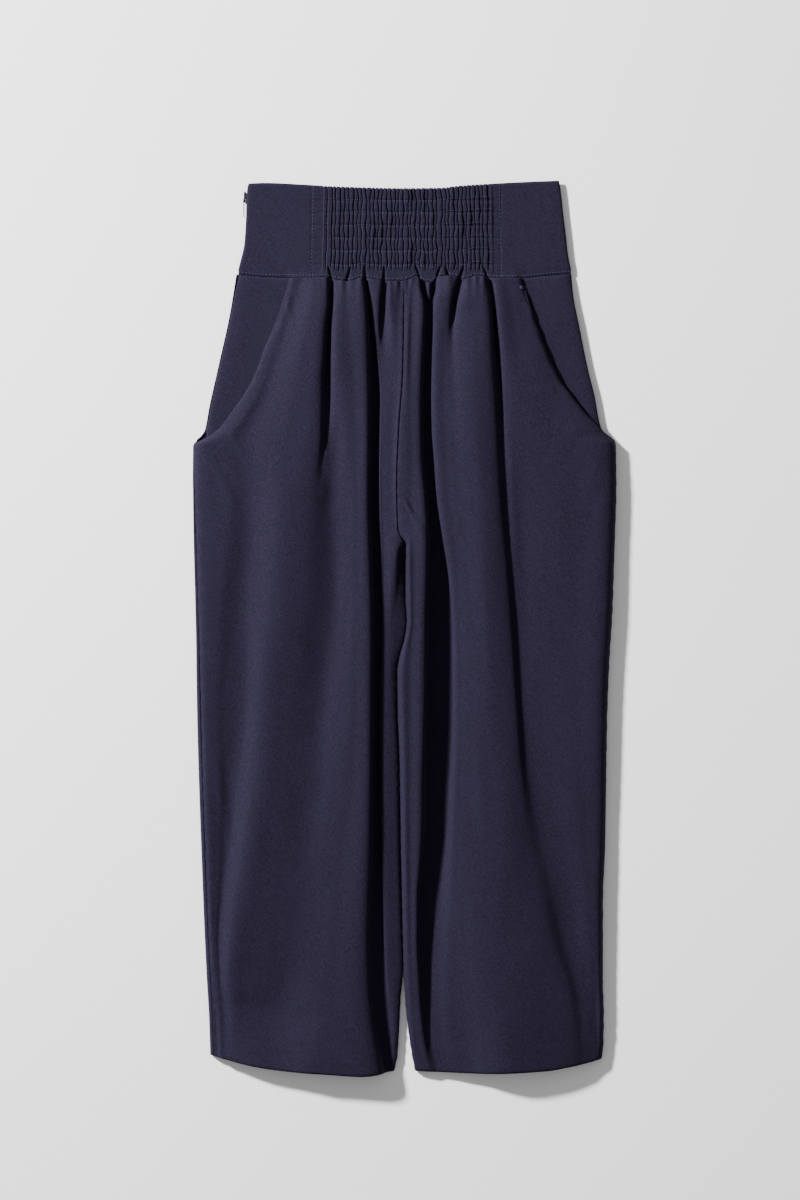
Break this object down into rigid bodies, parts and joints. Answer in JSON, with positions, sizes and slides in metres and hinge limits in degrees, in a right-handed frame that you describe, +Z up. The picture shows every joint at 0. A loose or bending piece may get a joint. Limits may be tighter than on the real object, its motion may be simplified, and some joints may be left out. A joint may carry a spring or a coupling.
{
  "type": "wide cropped trousers",
  "caption": "Wide cropped trousers laid flat, with a deep waistband gathered on elastic, soft front folds, scooped side pockets, a concealed side zip and plain hems.",
  "frame": {"origin": "on the table, under the middle of the garment", "axes": "+X to the wearer's left, which is the viewer's right, +Y from the hems to the waist, +Z up out of the front"},
  "size_m": [0.424, 0.8959, 0.0209],
  "materials": {
    "suiting": "matt navy crepe suiting",
    "zip_tape": "woven navy tape with a dark coil",
    "zip_metal": "dark satin lacquer"
  },
  "bodies": {
    "root": {"waistband_front": "suiting", "waistband_back": "suiting", "right_front": "suiting", "left_front": "suiting", "right_back": "suiting", "left_back": "suiting", "right_pocket_facing": "suiting", "left_pocket_facing": "suiting", "zip_tape": "zip_tape", "zip_slider": "zip_metal"},
    "pull": {"zip_pull": "zip_metal"}
  },
  "joints": [
    {"name": "zip_pull_swing", "type": "hinge", "parent": "root", "child": "pull", "pos_m": [-0.161, 0.4272, 0.0026], "axis": [0, 0, -1], "range_deg": [0, 150]}
  ]
}
